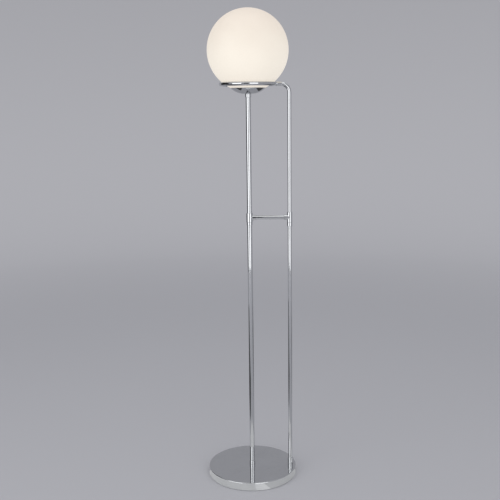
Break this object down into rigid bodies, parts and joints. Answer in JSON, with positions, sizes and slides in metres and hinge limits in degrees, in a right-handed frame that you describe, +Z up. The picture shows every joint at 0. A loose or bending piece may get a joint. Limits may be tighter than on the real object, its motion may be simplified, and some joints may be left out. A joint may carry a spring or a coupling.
{
  "type": "globe floor lamp",
  "caption": "Floor lamp with a round weighted base, a main post and a thinner side post that curves into a ring around an opal glass globe resting in a small cup.",
  "frame": {"origin": "on the floor, at the centre of the base under the main post's axis", "axes": "+Z up along the main post; +X from the main post to the side post; +Y to the back, where the cord's inlet is"},
  "size_m": [0.288, 0.2895, 1.5],
  "materials": {
    "chrome": "bright chrome plate on steel tube and brass fittings",
    "chrome_base": "mirror chrome plate on spun steel",
    "chrome_cup": "mirror chrome plate on spun steel",
    "cast_iron": "as cast, dark primer",
    "zinc_steel": "zinc plated steel",
    "black_steel": "black oxide",
    "brass": "turned brass",
    "nickel_brass": "nickel plated brass",
    "felt": "pressed black felt",
    "grommet_rubber": "black rubber, satin",
    "silicone": "translucent white silicone",
    "opal_glass": "opal glass, glossy, lit from inside",
    "frosted_glass": "frosted white glass, lit",
    "holder_plastic": "white moulded plastic",
    "holder_ceramic": "white glazed ceramic",
    "bulb_aluminium": "rolled aluminium",
    "black_glass": "black glass insulator",
    "solder": "soldered contact",
    "cable_sheath": "white flexible sheath",
    "wire_insulation": "flexible insulation"
  },
  "bodies": {
    "stand": {"base_cover": "chrome_base", "base_weight": "cast_iron", "bottom_plate": "zinc_steel", "bottom_screws": "zinc_steel", "felt_pad": "felt", "cable_grommet": "grommet_rubber", "main_foot_plug": "brass", "main_foot_nipple": "zinc_steel", "main_foot_washer": "zinc_steel", "main_foot_nut": "zinc_steel", "main_foot_ferrule": "chrome", "side_foot_plug": "brass", "side_foot_stud": "zinc_steel", "side_foot_washer": "zinc_steel", "side_foot_nut": "zinc_steel", "side_foot_sleeve": "chrome", "main_post_lower": "chrome", "main_post_upper": "chrome", "main_joint_plug_lower": "brass", "main_joint_plug_upper": "brass", "main_joint_nipple": "zinc_steel", "main_joint_collar": "chrome", "side_post_lower": "chrome", "side_post_upper": "chrome", "side_joint_plug_lower": "brass", "side_joint_plug_upper": "brass", "side_joint_stud": "zinc_steel", "side_joint_collar": "chrome", "main_tee": "chrome", "side_tee": "chrome", "cross_bar": "chrome", "tee_grub_screws": "black_steel", "globe_ring": "chrome", "head_plug": "brass", "head_nipple": "zinc_steel", "head_ferrule": "chrome", "gallery_cup": "chrome_cup", "cup_washer": "zinc_steel", "cup_nut": "brass", "shade_gasket": "silicone", "holder_cap": "holder_plastic", "holder_skirt": "holder_plastic", "holder_core": "holder_ceramic", "holder_screw_shell": "nickel_brass", "holder_contact": "brass", "holder_terminals": "brass", "inner_cable": "cable_sheath", "holder_wires": "wire_insulation"},
    "globe": {"globe_shade": "opal_glass"},
    "bulb": {"bulb_cap": "bulb_aluminium", "bulb_insulator": "black_glass", "bulb_tip": "solder", "bulb_glass": "frosted_glass"}
  },
  "joints": [
    {"name": "globe_lift", "type": "slide", "parent": "stand", "child": "globe", "axis": [0, 0, 1], "range_m": [0, 0.2]},
    {"name": "bulb_unscrew", "type": "slide", "parent": "stand", "child": "bulb", "axis": [0, 0, 1], "range_m": [0, 0.04]}
  ]
}
